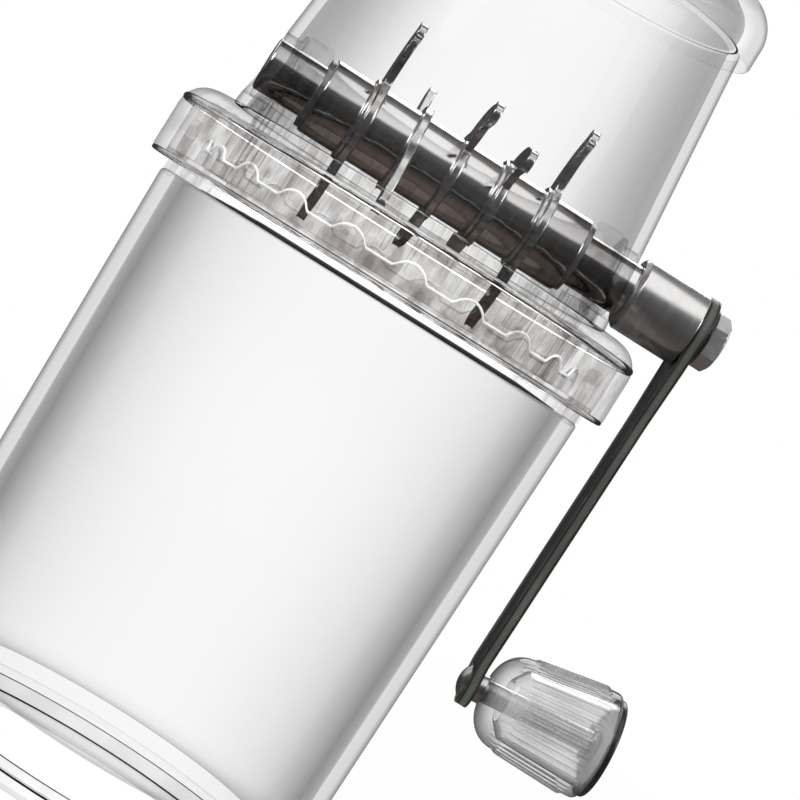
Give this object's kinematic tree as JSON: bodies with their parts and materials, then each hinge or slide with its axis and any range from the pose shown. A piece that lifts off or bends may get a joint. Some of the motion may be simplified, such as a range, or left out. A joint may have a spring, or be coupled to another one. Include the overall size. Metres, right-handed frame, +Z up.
{
  "type": "hand crank ice crusher",
  "caption": "Clear hand crank ice crusher: a cup under a bladed crushing head, a hopper with a lid, and a side crank with a turning knob.",
  "frame": {"origin": "middle of the foot ring's lower face, on the table", "axes": "+X along the crank shaft towards the crank, +Z up through the cup and hopper, -Y is the front in the picture"},
  "size_m": [0.176, 0.1296, 0.2582],
  "materials": {
    "clear_cup": "clear moulded plastic, glossy",
    "foot_ring": "clear soft plastic, satin",
    "seal": "dark soft seal",
    "clear_head": "clear moulded plastic, ribbed and fluted",
    "clear_hopper": "clear moulded plastic, glossy",
    "bush": "clear bearing plastic",
    "chrome": "polished steel",
    "blade_steel": "polished stainless steel plate",
    "spring_steel": "spring steel",
    "hub_steel": "satin steel",
    "bolt_chrome": "bright plated",
    "black_washer": "black",
    "arm_black": "black satin paint",
    "spindle_steel": "turned steel",
    "clear_knob": "clear ribbed plastic",
    "cap_black": "dark end cap",
    "clear_lid": "clear moulded plastic, glossy"
  },
  "bodies": {
    "cup": {"cup": "clear_cup", "foot_ring": "foot_ring"},
    "head": {"seal_strips": "seal", "collar": "clear_head", "collar_plate": "clear_head", "crushing_comb": "clear_head", "hopper": "clear_hopper", "bearing_left": "clear_head", "bearing_right": "clear_head", "bush_left": "bush", "bush_right": "bush"},
    "rotor": {"shaft": "chrome", "blade_1": "blade_steel", "blade_2": "blade_steel", "blade_3": "blade_steel", "blade_4": "blade_steel", "blade_5": "blade_steel", "sleeve_1": "chrome", "sleeve_2": "chrome", "sleeve_3": "chrome", "sleeve_4": "chrome", "sleeve_5": "chrome", "sleeve_6": "chrome", "blade_washers": "blade_steel", "retaining_rings": "spring_steel", "hub": "hub_steel", "crank_bolt": "bolt_chrome", "bolt_washer": "black_washer", "crank_arm": "arm_black", "knob_spindle": "spindle_steel", "spindle_spacer": "black_washer"},
    "knob": {"knob": "clear_knob", "knob_cap": "cap_black"},
    "lid": {"lid": "clear_lid"}
  },
  "joints": [
    {"name": "head_lift", "type": "slide", "parent": "cup", "child": "head", "axis": [0, 0, 1], "range_m": [0, 0.06]},
    {"name": "lid_lift", "type": "slide", "parent": "head", "child": "lid", "axis": [0, 0, 1], "range_m": [0, 0.05]},
    {"name": "crank_turn", "type": "hinge", "parent": "head", "child": "rotor", "pos_m": [0, 0, 0.1758], "axis": [1, 0, 0], "continuous": true},
    {"name": "knob_spin", "type": "hinge", "parent": "rotor", "child": "knob", "pos_m": [0.071, 0, 0.0723], "axis": [0.9965, 0, 0.0837], "continuous": true}
  ]
}
